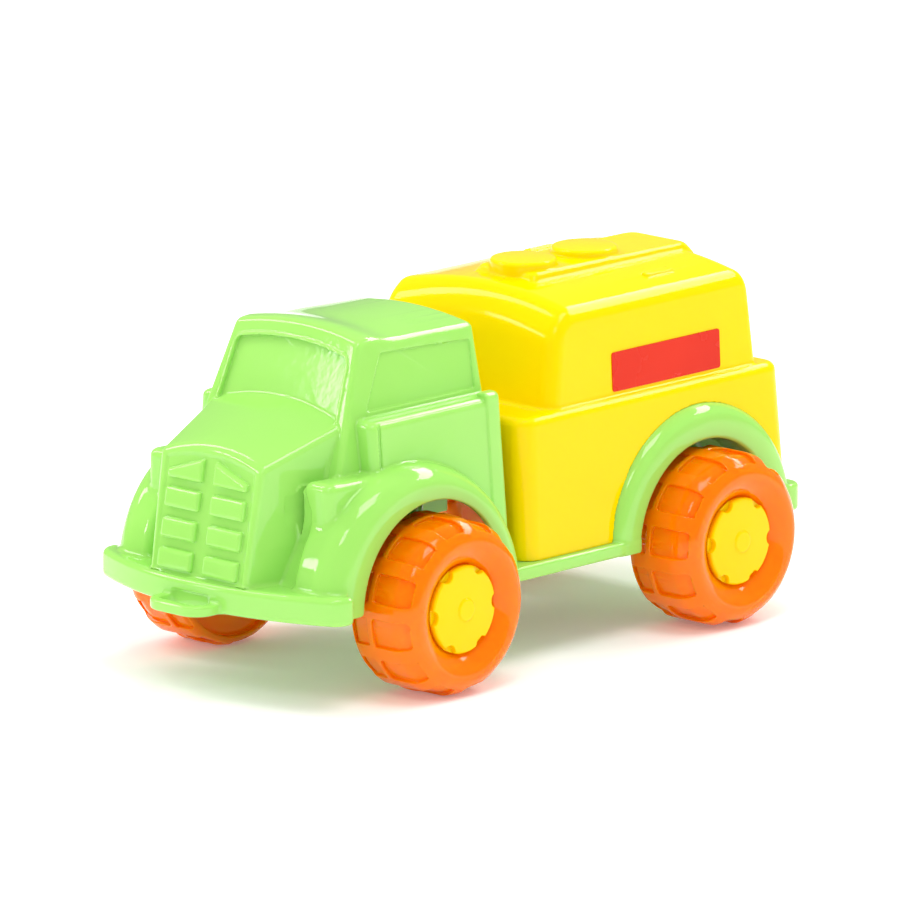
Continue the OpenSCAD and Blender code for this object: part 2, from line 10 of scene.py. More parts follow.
import bpy
import numpy as np
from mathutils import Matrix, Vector


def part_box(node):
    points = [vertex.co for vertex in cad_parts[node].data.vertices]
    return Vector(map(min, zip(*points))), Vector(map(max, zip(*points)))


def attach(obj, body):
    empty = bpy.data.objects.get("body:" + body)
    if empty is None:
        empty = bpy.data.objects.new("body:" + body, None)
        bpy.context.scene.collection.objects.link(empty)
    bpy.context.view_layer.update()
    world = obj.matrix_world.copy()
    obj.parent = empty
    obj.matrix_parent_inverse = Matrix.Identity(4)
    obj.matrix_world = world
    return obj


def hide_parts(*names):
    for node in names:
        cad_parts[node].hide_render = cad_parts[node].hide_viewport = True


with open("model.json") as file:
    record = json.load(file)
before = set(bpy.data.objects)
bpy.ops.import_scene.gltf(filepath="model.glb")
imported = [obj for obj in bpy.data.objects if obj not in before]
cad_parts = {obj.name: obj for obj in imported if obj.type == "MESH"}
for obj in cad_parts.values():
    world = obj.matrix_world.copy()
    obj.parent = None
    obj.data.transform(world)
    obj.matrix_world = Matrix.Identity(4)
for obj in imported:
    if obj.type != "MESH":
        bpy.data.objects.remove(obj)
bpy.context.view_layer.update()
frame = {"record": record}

MM = 1000.0

joints = {j["name"]: j for j in frame["record"]["behaviour"]["joints"]}
AXLE_Y = {
    "front": joints["front_axle_spin"]["pos_m"][1] * MM,
    "rear": joints["rear_axle_spin"]["pos_m"][1] * MM,
}
AXLE_Z = joints["front_axle_spin"]["pos_m"][2] * MM
TYRE_LOW, TYRE_HIGH = (np.array(c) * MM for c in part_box("front_left_tyre"))
TYRE_R = AXLE_Z
TYRE_W = TYRE_HIGH[0] - TYRE_LOW[0]
WALL = 2.0
DECK_Z = 33.5
SKIRT_Z = 25.5
SILL_TOP = SKIRT_Z + 3.0


# ---------------------------------------------------------------- distance functions


def rmax(a, b, r):
    """Both a and b: the edge between them is rounded by r."""
    return np.minimum(np.maximum(a, b), -r) + np.hypot(np.maximum(a + r, 0), np.maximum(b + r, 0))


def rmin(a, b, r):
    """Either a or b: the corner between them is filled by r."""
    return -rmax(-a, -b, r)


def cut(a, b, r):
    """a without b, with the new edge rounded by r."""
    return rmax(a, -b, r)


def slab(v, low, high):
    return np.maximum(low - v, v - high)


def plane(u, v, p, q):
    """Distance outside the line from p to q, whose inside is on its left, in the u, v plane."""
    du, dv = q[0] - p[0], q[1] - p[1]
    n = math.hypot(du, dv)
    return ((u - p[0]) * dv - (v - p[1]) * du) / n


def rect(u, v, half_u, half_v, r):
    """A rectangle about 0, 0 with corner radius r."""
    a, b = np.abs(u) - half_u + r, np.abs(v) - half_v + r
    return np.hypot(np.maximum(a, 0), np.maximum(b, 0)) + np.minimum(np.maximum(a, b), 0) - r


def shell(d):
    """The wall just inside a closed shape."""
    return np.maximum(d, -(d + WALL))


# ---------------------------------------------------------------- meshing


def surface_nets(f, low, high, step):
    """Vertices and quads of the surface f = 0, one vertex for each grid cell it crosses."""
    axes = [np.arange(a, b + step, step) for a, b in zip(low, high)]
    x, y, z = (
        a.astype(np.float32).reshape([-1 if i == k else 1 for i in range(3)])
        for k, a in enumerate(axes)
    )
    v = np.ascontiguousarray(
        np.broadcast_to(f(x, y, z), [len(a) for a in axes]), dtype=np.float32
    )
    s = v < 0
    corners = [(i, j, k) for i in (0, 1) for j in (0, 1) for k in (0, 1)]
    n = [m - 1 for m in v.shape]
    count = np.zeros(n, np.int8)
    for i, j, k in corners:
        count += s[i : i + n[0], j : j + n[1], k : k + n[2]]
    mixed = (count > 0) & (count < 8)
    cells = np.argwhere(mixed)
    index = np.full(n, -1, np.int64)
    index[mixed] = np.arange(len(cells))
    total = np.zeros((len(cells), 3))
    hits = np.zeros(len(cells))
    for axis in range(3):
        for c in corners:
            if c[axis]:
                continue
            p = cells + c
            q = p.copy()
            q[:, axis] += 1
            a, b = v[tuple(p.T)], v[tuple(q.T)]
            on = (a < 0) != (b < 0)
            t = np.where(on, a / np.where(on, a - b, 1), 0)
            point = p.astype(float)
            point[:, axis] += t
            total[on] += point[on]
            hits += on
    verts = total / hits[:, None] * step + np.array(low)
    quads = []
    for axis in range(3):
        a, b = (axis + 1) % 3, (axis + 2) % 3
        first = [slice(None)] * 3
        second = [slice(None)] * 3
        first[axis], second[axis] = slice(None, -1), slice(1, None)
        for o in (a, b):
            first[o] = second[o] = slice(1, -1)
        inside = s[tuple(first)]
        flips = inside != s[tuple(second)]
        at = np.argwhere(flips)
        out = inside[flips]
        at[:, a] += 1
        at[:, b] += 1
        ring = []
        for da, db in ((-1, -1), (0, -1), (0, 0), (-1, 0)):
            c = at.copy()
            c[:, a] += da
            c[:, b] += db
            ring.append(index[tuple(c.T)])
        ring = np.stack(ring, 1)
        ring[~out] = ring[~out][:, ::-1]
        quads.append(ring)
    return verts, np.concatenate(quads)


def gradient(f, p, h):
    g = np.empty_like(p)
    for k in range(3):
        e = np.zeros(3)
        e[k] = h
        g[:, k] = f(*(p + e).T) - f(*(p - e).T)
    return g / (2 * h)


# settling: number of passes, the gradient's reach in mm, its least square, the longest move in steps
SETTLE_PASSES, SETTLE_REACH, LEAST_SLOPE, LONGEST_MOVE = 2, 0.02, 0.25, 0.4


def settle(f, p, step):
    """Move the points onto the surface f = 0."""
    for _ in range(SETTLE_PASSES):
        g = gradient(f, p, SETTLE_REACH)
        d = f(*p.T) / np.maximum((g * g).sum(1), LEAST_SLOPE)
        p = p - np.clip(d, -LONGEST_MOVE * step, LONGEST_MOVE * step)[:, None] * g
    return p


def mesh_of(name, verts, faces):
    """A mesh in metres from vertices in millimetres and equal-sided faces."""
    mesh = bpy.data.meshes.new(name)
    sides = faces.shape[1]
    mesh.vertices.add(len(verts))
    mesh.vertices.foreach_set("co", (verts / MM).ravel())
    mesh.loops.add(faces.size)
    mesh.loops.foreach_set("vertex_index", faces.ravel().astype(np.int32))
    mesh.polygons.add(len(faces))
    mesh.polygons.foreach_set("loop_start", np.arange(0, faces.size, sides, dtype=np.int32))
    mesh.update(calc_edges=True)
    return mesh


def add(name, mesh):
    piece = bpy.data.objects.new(name, mesh)
    bpy.context.collection.objects.link(piece)
    return piece


# the reach of the gradient that gives the normals, and what makes a face take its own normal
NORMAL_REACH = 0.15
LONG_EDGE, LEAN_DEG = 1.6, 6.0


def unit(v):
    return v / np.maximum(np.linalg.norm(v, axis=1), 1e-9)[:, None]


def moulded(name, f, low, high, step, triangles, split=True):
    """The piece bounded by f = 0, thinned to about a number of triangles."""
    verts, quads = surface_nets(f, low, high, step)
    verts = settle(f, verts, step)
    piece = add(name, mesh_of(name, verts, quads))
    if 2 * len(quads) > triangles:
        thin = piece.modifiers.new("thin", "DECIMATE")
        thin.ratio = triangles / (2 * len(quads))
        thin.use_collapse_triangulate = True
        deps = bpy.context.evaluated_depsgraph_get()
        mesh = bpy.data.meshes.new_from_object(piece.evaluated_get(deps))
        piece.modifiers.clear()
        old, piece.data = piece.data, mesh
        bpy.data.meshes.remove(old)
        mesh.name = name
    mesh = piece.data
    verts = np.empty(3 * len(mesh.vertices))
    mesh.vertices.foreach_get("co", verts)
    verts = settle(f, verts.reshape(-1, 3) * MM, step)
    mesh.vertices.foreach_set("co", (verts / MM).ravel())
    normals = unit(gradient(f, verts, NORMAL_REACH))
    mesh.shade_smooth()
    mesh.update()
    if split and len(mesh.loops) == 3 * len(mesh.polygons):
        # a long face that runs from a flat into a fillet takes its own normal, not the fillet's
        corners = np.empty(len(mesh.loops), np.int32)
        mesh.loops.foreach_get("vertex_index", corners)
        corners = corners.reshape(-1, 3)
        points = verts[corners]
        own = unit(np.cross(points[:, 1] - points[:, 0], points[:, 2] - points[:, 0]))
        length = np.linalg.norm(points - np.roll(points, 1, axis=1), axis=2).max(axis=1)
        smooth = normals[corners]
        lean = np.einsum("ijk,ik->ij", smooth, own)
        long_face = (length > LONG_EDGE)[:, None] & (lean < math.cos(math.radians(LEAN_DEG)))
        smooth = np.where(long_face[:, :, None], own[:, None, :], smooth)
        mesh.normals_split_custom_set(smooth.reshape(-1, 3).astype(np.float32))
    else:
        mesh.normals_split_custom_set_from_vertices(normals.astype(np.float32))
    mesh.update()
    return piece


# ---------------------------------------------------------------- the front of the truck

ARCH_Y, ARCH_Z, ARCH_R = AXLE_Y["front"], AXLE_Z + 1.1, 28.0
HOOD_FRONT_HALF_W, HOOD_FLARE, HOOD_BACK_Y = 18.4, 0.22, -58
# the grille leans back: a point on its foot, and the cosine and sine of the lean
GRILLE_FOOT_Y, GRILLE_FOOT_Z, LEAN_COS, LEAN_SIN = -96.55, 34.2, 0.9835, 0.181


def hood_half_w(y):
    return HOOD_FRONT_HALF_W + HOOD_FLARE * (y + 96.8)


def outside_grille(y, z):
    return -(y - GRILLE_FOOT_Y) * LEAN_COS + (z - GRILLE_FOOT_Z) * LEAN_SIN


def hood(x, y, z):
    """Crowned bonnet with a slightly recessed grille between two side ribs."""
    ax = np.abs(x)
    half = hood_half_w(y)
    side = (ax - half) / 1.024
    ridge = 69.9 + 0.356 * (y + 90.65)
    top = (z - ridge + 3.6 * (ax / half) ** 2) * 0.93
    front = outside_grille(y, z)
    # the grille panel lies 0.4 mm back, between ribs along the side edges
    panel = rect(x, z - 50, 17.0, 30, 1.5)
    crown = z - (67.4 - 3.2 * (ax / 19.5) ** 2)
    front = front + 0.4 * np.clip(0.5 - np.maximum(panel, crown) / 0.9, 0, 1)
    d = rmax(side, front, 1.4)
    d = rmax(d, top, 1.5)
    return rmax(d, y - HOOD_BACK_Y, 0.5)


PAD_PROUD, PAD_X, PAD_FOOT_Z, PAD_PITCH = 1.2, 8.7, 34.9, 8.35
PAD_HALF_W, PAD_HALF_H, PAD_CORNER = 6.5, 2.75, 0.7
TOP_PAD_HALF_H, PAD_ROWS = 3.6, 4


def grille_pads(x, y, z):
    """Raised pads in two columns on the sloping grille, the top row cut by the crown."""
    d = None
    out = outside_grille(y, z) - PAD_PROUD
    for side in (-1, 1):
        u = side * x - PAD_X
        for row in range(PAD_ROWS):
            v = z - (PAD_FOOT_Z + PAD_PITCH * row) - 2.7
            pad = rect(u, v, PAD_HALF_W, PAD_HALF_H, PAD_CORNER)
            if row == PAD_ROWS - 1:
                pad = rect(u, v - 0.6, PAD_HALF_W, TOP_PAD_HALF_H, PAD_CORNER)
                pad = rmax(pad, (z - 66.3 + 0.34 * (side * x - 2)) * 0.94, 0.5)
            pad = rmax(pad, out, 1.0)
            d = pad if d is None else np.minimum(d, pad)
    return np.maximum(d, -out - PAD_PROUD - 3)


CAB_FOOT_Z, CAB_FOOT_HALF_W = 28, 37.4
WAIST_Z, WAIST_HALF_W = 77.0, 33.4
CAB_FRONT_Y, CAB_REAR_Y = -61.4, -8.7
LEDGE_FALL, LEDGE_INNER_X = 0.06, 26
GROOVE_Y, GROOVE_HALF_W, GROOVE_DEPTH = -58.4, 0.5, 0.6
PILLAR_Y, PILLAR_PROUD, PILLAR_RISE = -15.8, 0.6, 0.9


def lower_cab(x, y, z):
    ax = np.abs(x)
    side = plane(ax, z, (CAB_FOOT_HALF_W, CAB_FOOT_Z), (WAIST_HALF_W, WAIST_Z))
    front = -(y - CAB_FRONT_Y)
    rear = y - CAB_REAR_Y + 0.012 * (z - CAB_FOOT_Z)
    d = rmax(side, front, 2.6)
    d = rmax(d, rear, 3.0)
    # the ledge falls a little towards the outside
    top = z - (WAIST_Z - 0.1 - LEDGE_FALL * np.maximum(ax - LEDGE_INNER_X, 0))
    d = rmax(d, top, 1.9)
    # a groove parts the door from the front corner
    groove = np.abs(y - GROOVE_Y) - GROOVE_HALF_W
    d = cut(d, np.maximum(groove, -(side + GROOVE_DEPTH)), 0.3)
    # a proud pillar closes the rear corner
    post = rmax(side - PILLAR_PROUD, rear, 3.0)
    post = rmax(post, z - WAIST_Z - PILLAR_RISE, 1.6)
    post = np.maximum(rmax(post, slab(y, PILLAR_Y, 0), 0.8), 30 - ax)
    return rmin(d, post, 0.3)


HOUSE_TOP_Z, HOUSE_FOOT_HALF_W, HOUSE_TOP_HALF_W = 96.5, 26.9, 23.9
ROOF_Z, ROOF_FALL, ROOF_CROWN = 98.3, 0.0193, 0.0042
VISOR_Y, VISOR_RISE, VISOR_REACH = -52, 1.2, 6.5
SIDE_GLASS_DEPTH, WINDSCREEN_DEPTH, BEAD_HALF_W = 0.55, 1.1, 0.6


def greenhouse(x, y, z):
    ax = np.abs(x)
    side = plane(ax, z, (HOUSE_FOOT_HALF_W, WAIST_Z), (HOUSE_TOP_HALF_W, HOUSE_TOP_Z))
    front = plane(-y, z, (64.9, 76.5), (57.3, 96.7))
    rear = plane(y, z, (-9.2, WAIST_Z), (-10.5, HOUSE_TOP_Z))
    # the roof swells a little above the windscreen and falls towards the back
    visor = VISOR_RISE * np.exp(-(((y - VISOR_Y) / VISOR_REACH) ** 2))
    roof = z - (ROOF_Z - ROOF_FALL * (y + 10.5) + visor - ROOF_CROWN * ax**2)
    d = rmax(side, front, 1.6)
    d = rmax(d, rear, 2.0)
    # side windows: a shallow panel that follows the wall
    low_y = plane(-y, z, (56.6, WAIST_Z + 0.8), (48.4, 93.6))
    window = rmax(rmax(low_y, y + 13.0, 0.8), z - 92.7 + 0.045 * (y + 30), 0.8)
    window = np.maximum(rmax(window, 78.2 - z, 0.8), -(side + SIDE_GLASS_DEPTH))
    d = rmax(d, -window, 0.35)
    # windscreen: its foot follows the bonnet, its head follows the roof, with a bead round it
    ridge = 78.6 - 3.2 * (ax / 25) ** 2
    head = 95.4 - 0.0052 * ax**2
    pane = rmax(plane(ax, z, (22.6, 76.5), (21.0, 94.5)), z - head, 1.6)
    bead = np.abs(pane - BEAD_HALF_W) - BEAD_HALF_W
    d = rmin(d, np.maximum(rmax(bead, front - 0.35, 0.3), -front - 1), 0.25)
    glass = np.maximum(np.maximum(pane, ridge - 4 - z), -(front + WINDSCREEN_DEPTH))
    d = rmax(d, -glass, 0.3)
    d = rmax(d, roof, 1.3)
    return np.maximum(d, 60 - z)


# the front fender's outline is two round sweeps, one about the arch
FRONT_FENDER_R, FENDER_BACK_Y, FENDER_BACK_Z, FENDER_BACK_R = 42.4, -56.25, 16.4, 52.2
FENDER_X, FENDER_ROLL = 43.7, 8.5


def fender_r(y, z):
    """How far a point lies outside the front fender's outline, seen from the side."""
    front = np.hypot(y - ARCH_Y, z - ARCH_Z) - FRONT_FENDER_R
    back = np.hypot(y - FENDER_BACK_Y, z - FENDER_BACK_Z) - FENDER_BACK_R
    return rmax(front, back, 14)


def front_fender(x, y, z):
    ax = np.abs(x)
    outline = fender_r(y, z)
    from_arch = np.hypot(y - ARCH_Y, z - ARCH_Z) - ARCH_R
    face = FENDER_X - 0.020 * (from_arch - 6) ** 2 * (from_arch < 6)
    d = rmax(outline, ax - face, FENDER_ROLL)
    d = rmax(d, 27.5 - ax, 3.0)
    return np.maximum(d, SKIRT_Z - z)


POD_FRONT_Y, POD_TOP_Z, POD_HALF_W = -80.6, 62.6, 35.6
PLATE_TOP_Z, PLATE_BACK = 60.3, 1.3
APRON_FRONT_Y, APRON_TOP_Z = -79.4, 44.8
SLOT_Z, SLOT_HALF_H, SLOT_HALF_W, SLOT_GAP = 54.5, 7.6, 1.35, 1.0


def lamp_pod(x, y, z):
    """The lamp housing beside the bonnet, the plate set back beside it and the apron below."""
    ax = np.abs(x)
    inner = 27.8 - 2.2 * np.clip((z - SLOT_Z) / 5, 0, 1)
    pod = rmax(POD_FRONT_Y - y, inner - ax, 1.6)
    pod = rmax(pod, ax - POD_HALF_W, 3.2)
    pod = rmax(pod, z - POD_TOP_Z + 0.02 * (y - POD_FRONT_Y), 2.4)
    plate = rmax(POD_FRONT_Y + PLATE_BACK - y, z - PLATE_TOP_Z, 1.2)
    plate = np.maximum(plate, np.maximum(ax - 30, 18 - ax))
    d = np.maximum(np.minimum(pod, plate), y - HOOD_BACK_Y)
    apron = (APRON_FRONT_Y - 0.5 * np.maximum(44.6 - z, 0) - y) * 0.9
    apron = rmax(apron, z - APRON_TOP_Z, 2.0)
    apron = np.maximum(apron, np.maximum(np.maximum(ax - 34, 18 - ax), y + 60))
    return rmin(d, apron, 1.5)


def pod_slot(x, y, z):
    """The narrow opening between the bonnet's side and the plate."""
    ax = np.abs(x)
    half = SLOT_HALF_W * (1 - ((z - SLOT_Z) / SLOT_HALF_H) ** 2)
    return np.maximum(np.abs(ax - hood_half_w(y) - SLOT_GAP) - half, slab(y, -83.5, -75.6))


def cab_outer(x, y, z):
    d = rmin(hood(x, y, z), lower_cab(x, y, z), 0.8)
    d = rmin(d, greenhouse(x, y, z), 0.6)
    body = rmin(front_fender(x, y, z), lamp_pod(x, y, z), 1.2)
    return rmin(d, body, 1.0)


# each place stands for a pair of screws at -x and x: two pairs in the cab, two in the tank
SCREW_PLACES = ((12, -78.5), (20, -32), (31, 2.8), (20, 88))
CAB_SCREWS, TANK_SCREWS = SCREW_PLACES[:2], SCREW_PLACES[2:]
BOSS_R, PILOT_R, SCREW_HOLE_R = 3.5, 0.9, 1.6


def bosses(x, y, outer, places):
    """Screw posts inside a shell."""
    d = None
    for px, py in places:
        post = np.hypot(np.abs(x) - px, y - py) - BOSS_R
        d = post if d is None else np.minimum(d, post)
    return np.maximum(np.maximum(d, outer + 0.8), PILOT_R - (d + BOSS_R))


BUMPER_FRONT_Y, BUMPER_R, BUMPER_HALF_W, BUMPER_BACK_Y = -99.4, 100.0, 47.0, -82.5
BUMPER_EDGE_R, BUMPER_CORNER_R = 1.7, 3.5


def bumper_rim(x, y):
    """How far a point lies outside the bumper's front edge and ends, seen from above."""
    front = np.hypot(x, y - BUMPER_FRONT_Y - BUMPER_R) - BUMPER_R
    return rmax(front, np.abs(x) - BUMPER_HALF_W, BUMPER_CORNER_R)


def cab(x, y, z):
    ax = np.abs(x)
    # a small fillet leads down onto the bumper and ends just under its top
    toe_end = y - BUMPER_BACK_Y
    toe = np.maximum(z - DECK_Z + 0.06, toe_end)
    body = cab_outer(x, y, z)
    outer = rmin(body, toe, 1.5)
    d = shell(outer)
    d = np.minimum(d, bosses(x, y, outer, CAB_SCREWS))
    # a rib closes the back of the opening beside the bonnet
    rib = np.maximum(np.abs(ax - hood_half_w(y) - SLOT_GAP) - 3.2, slab(y, -79, -74.2))
    d = np.minimum(d, np.maximum(np.maximum(rib, slab(z, 44, 60)), outer + 0.6))
    d = np.minimum(d, np.maximum(grille_pads(x, y, z), outer - 3))
    arch = np.maximum(np.hypot(y - ARCH_Y, z - ARCH_Z) - ARCH_R, 31 - ax)
    d = cut(d, arch, 0.5)
    # the front stands on the bumper with the fenders' feet behind it, the back on the sills
    d = np.maximum(d, -np.maximum(toe_end - 0.2, z - DECK_Z + 1.3))
    beyond = np.maximum(-(bumper_rim(x, y) + BUMPER_EDGE_R + 0.1), 0.02 - body)
    d = np.maximum(d, -np.maximum(np.maximum(z - DECK_Z - 0.02, beyond), toe_end))
    foot = rmax(d, SKIRT_Z + 0.2 - z, 1.4)
    d = np.where(y < -60, foot, np.maximum(d, SILL_TOP - z))
    deck = np.maximum(np.maximum(ax - 31.3, z - DECK_Z), slab(y, BUMPER_BACK_Y, -12.7))
    d = np.maximum(d, -deck)
    d = np.maximum(d, -pod_slot(x, y, z))
    hollow = np.maximum(np.maximum(ax - 30, z - 48), slab(y, -20, 5))
    return cut(d, hollow, 0.4)


# ---------------------------------------------------------------- the tank

TANK_FRONT_Y, TANK_REAR_Y = -5.1, 105.2
TANK_FOOT_Z, LEDGE_Z, WALL_TOP_Z = 28.5, 69.0, 92
TANK_FOOT_HALF_W, TANK_LEDGE_HALF_W = 39.5, 37.6
UPPER_FOOT_HALF_W, UPPER_TOP_HALF_W = 34.8, 33.6
TANK_ROOF_Z, TANK_CROWN = 100, 0.0038
FENDER_R = 36.8


def tank_outer(x, y, z):
    ax = np.abs(x)
    side = plane(ax, z, (TANK_FOOT_HALF_W, TANK_FOOT_Z), (TANK_LEDGE_HALF_W, LEDGE_Z))
    front = plane(-y, z, (-TANK_FRONT_Y, TANK_FOOT_Z), (-TANK_FRONT_Y - 0.5, LEDGE_Z))
    rear = plane(y, z, (TANK_REAR_Y, TANK_FOOT_Z), (TANK_REAR_Y - 2.6, LEDGE_Z))
    low = rmax(rmax(side, front, 5.5), rear, 5.5)
    low = rmax(low, z - LEDGE_Z, 2.4)
    side = plane(ax, z, (UPPER_FOOT_HALF_W, LEDGE_Z), (UPPER_TOP_HALF_W, WALL_TOP_Z))
    front = plane(-y, z, (-9.2, LEDGE_Z), (-12.4, WALL_TOP_Z))
    rear = plane(y, z, (96.8, LEDGE_Z), (94.6, WALL_TOP_Z))
    # crowned roof with a broad bevel above the front wall
    height = z + TANK_CROWN * ax**2
    bevel = ((height - 95.2) * 6.6 - (y - 12.2) * 4.8) / 8.16
    roof = rmax((height - TANK_ROOF_Z) * 0.98, bevel, 0.9)
    roof = rmax(roof, rear, 6)
    walls = rmax(rmax(side, front, 4.5), rear, 4.5)
    up = rmax(walls, roof, 3.4)
    return rmin(low, up, 0.9)


WALKWAY_TOP_Z, HATCH_R = 101.9, 9.5
# each hatch: its place along the truck and the height of its middle
HATCHES = ((35.0, 104.4), (60.3, 104.0))


def walkway(x, y, z):
    """The raised spine, two round hatches and a small rib on the roof."""
    ax = np.abs(x)
    side = plane(ax, z, (12.8, 97), (10.8, 101.6))
    front = plane(-y, z, (-25.8, 98), (-28.2, 101.8))
    rear = plane(y, z, (94.8, 98), (91.6, 101.8))
    d = rmax(rmax(side, front, 1.6), rear, 3.0)
    d = rmax(d, z - WALKWAY_TOP_Z + 0.01 * (y - 30), 0.9)
    # its end runs down into the tank's rear wall
    d = rmax(d, plane(y, z, (97.0, LEDGE_Z), (94.8, WALL_TOP_Z)), 1.2)
    for hatch_y, top in HATCHES:
        r = np.hypot(x, y - hatch_y)
        lid = rmax(r - HATCH_R, z - (top - 0.004 * r**2), 0.9)
        lid = rmax(lid, 97 - z, 0.1)
        d = rmin(d, lid, 0.5)
    rib = rmax(rect(ax - 23, y - 66, 1.2, 5.7, 1.0), z - (98.9 - 0.17 * (ax - 23)), 0.5)
    d = rmin(d, np.maximum(rib, 92 - z), 0.4)
    return np.maximum(d, 94 - z)


def tank(x, y, z):
    ax = np.abs(x)
    outer = rmin(tank_outer(x, y, z), walkway(x, y, z), 0.6)
    d = shell(outer)
    d = np.minimum(d, bosses(x, y, outer, TANK_SCREWS))
    d = np.maximum(d, SILL_TOP - z)
    d = np.maximum(d, -np.maximum(z - DECK_Z - 0.05, 39.5 - y))
    r = np.hypot(y - AXLE_Y["rear"], z - AXLE_Z)
    gap = np.minimum(np.maximum(r - FENDER_R - 0.2, 34.7 - ax), np.maximum(r - 34.3, 28.7 - ax))
    d = np.maximum(d, -gap)
    hollow = np.maximum(np.maximum(ax - 30, z - 48), y + 3)
    return cut(d, hollow, 0.4)


# ---------------------------------------------------------------- the chassis

DECK_HALF_W, DECK_T = 31.0, 2.0
WELL_R, AXLE_HOLE_R, BEARING_R = 27.9, 2.06, 6
SILL_HALF_W, SILL_INNER_X = 42, 33.5


def bumper(x, y, z):
    rim = bumper_rim(x, y)
    d = rmax(rim, slab(z, SKIRT_Z, DECK_Z), BUMPER_EDGE_R)
    d = rmax(d, y - BUMPER_BACK_Y, 0.6)
    inner = np.maximum(np.maximum(rim + WALL, y - BUMPER_BACK_Y + 1), z - DECK_Z + WALL)
    return cut(d, inner, 0.4)


def tow_eye(x, y, z):
    ring = rect(x, y + 98, 11, 9.75, 6.5)
    d = rmax(ring, slab(z, SKIRT_Z, SKIRT_Z + 3), 0.8)
    return np.maximum(d, y + 97.5)


def eye_slot(x, y, z):
    """The slot of the tow eye, which runs on into the foot of the bumper's face."""
    return rmax(rect(x, y + 101.3, 7.6, 3.1, 2.0), z - 30.3, 0.9)


def rear_fender(x, y, z):
    """A half ring round the rear wheel: a rolled outer band and the roof of the wheel well."""
    ax = np.abs(x)
    r = np.hypot(y - AXLE_Y["rear"], z - AXLE_Z - 0.1)
    face = 42.0 - 0.028 * (r - 30) ** 2
    band = rmax(r - FENDER_R - 0.4, (ax - face) * 0.96, 3.2)
    band = np.maximum(band, 35.2 - ax)
    roof = np.maximum(r - 29.4, slab(ax, 29, 41))
    # inside the band the front of the well stops above the sill
    low = np.maximum(np.maximum(ax - 36, z - 31.5), y - AXLE_Y["rear"] + 13.7)
    roof = np.maximum(roof, -low)
    d = np.minimum(band, roof)
    d = rmax(d, 27.4 - r, 0.9)
    # short straight feet down to the sill's underside
    return np.maximum(d, SKIRT_Z - 1 - z)


def chassis(x, y, z):
    ax = np.abs(x)
    d = rmin(bumper(x, y, z), tow_eye(x, y, z), 0.8)
    d = cut(d, eye_slot(x, y, z), 0.5)
    deck = np.maximum(slab(z, DECK_Z - DECK_T, DECK_Z), ax - DECK_HALF_W)
    d = np.minimum(d, np.maximum(deck, slab(y, -90.5, -13)))
    cross = np.maximum(slab(z, SKIRT_Z - 1, SILL_TOP), slab(y, -15, 6.5))
    cross = rmax(cross, ax - SILL_HALF_W, 0.8)
    riser = np.maximum(np.maximum(slab(z, SKIRT_Z - 1, DECK_Z), slab(y, -15, -13)), ax - DECK_HALF_W)
    d = np.minimum(d, np.minimum(cross, riser))
    sill = rmax(slab(z, SKIRT_Z - 1, SILL_TOP), ax - SILL_HALF_W, 1.1)
    sill = np.maximum(np.maximum(sill, SILL_INNER_X - ax), slab(y, -19, 39.4))
    d = np.minimum(d, sill)
    # rear deck with its skirt
    plan = rect(x, y - 78.9, 42, 28.85, 5)
    skirt = rmax(plan, slab(z, SKIRT_Z, DECK_Z), 1.2)
    skirt = cut(skirt, np.maximum(rect(x, y - 68.9, 40, 36.85, 3), z - DECK_Z + DECK_T), 0.4)
    skirt = np.maximum(skirt, 50 - y)
    r = np.hypot(y - AXLE_Y["rear"], z - AXLE_Z)
    skirt = np.maximum(skirt, -np.maximum(r - WELL_R, DECK_HALF_W - ax))
    d = np.minimum(d, skirt)
    d = rmin(d, rear_fender(x, y, z), 0.6)
    well = np.maximum(np.maximum(r - WELL_R, slab(ax, 29, 31)), DECK_Z - DECK_T - z)
    d = np.minimum(d, well)
    for axle_y in AXLE_Y.values():
        r = np.hypot(y - axle_y, z - AXLE_Z)
        rib = np.maximum(np.abs(y - axle_y) - 7, slab(z, AXLE_Z, DECK_Z - 1))
        rib = np.minimum(rib, r - BEARING_R)
        rib = rmax(rib, slab(ax, 26, 31), 0.5)
        d = rmin(d, rib, 0.6)
        d = np.maximum(d, -np.maximum(r - AXLE_HOLE_R, ax - 33))
    for px, py in SCREW_PLACES:
        d = np.maximum(d, -np.maximum(np.hypot(ax - px, y - py) - SCREW_HOLE_R, z - 60))
    return d


# ---------------------------------------------------------------- wheels

POCKETS = 12
HUB_R, HUB_TUBE_R, HUB_BORE_R, HUB_BOSS_R = 12.5, 5, 2, 3.1
TYRE_SHOULDER_R, POCKET_DEPTH, TREAD_WALL = 8.5, 1.05, 3.0
SCALLOPS, SCALLOP_R = 6, 2.2


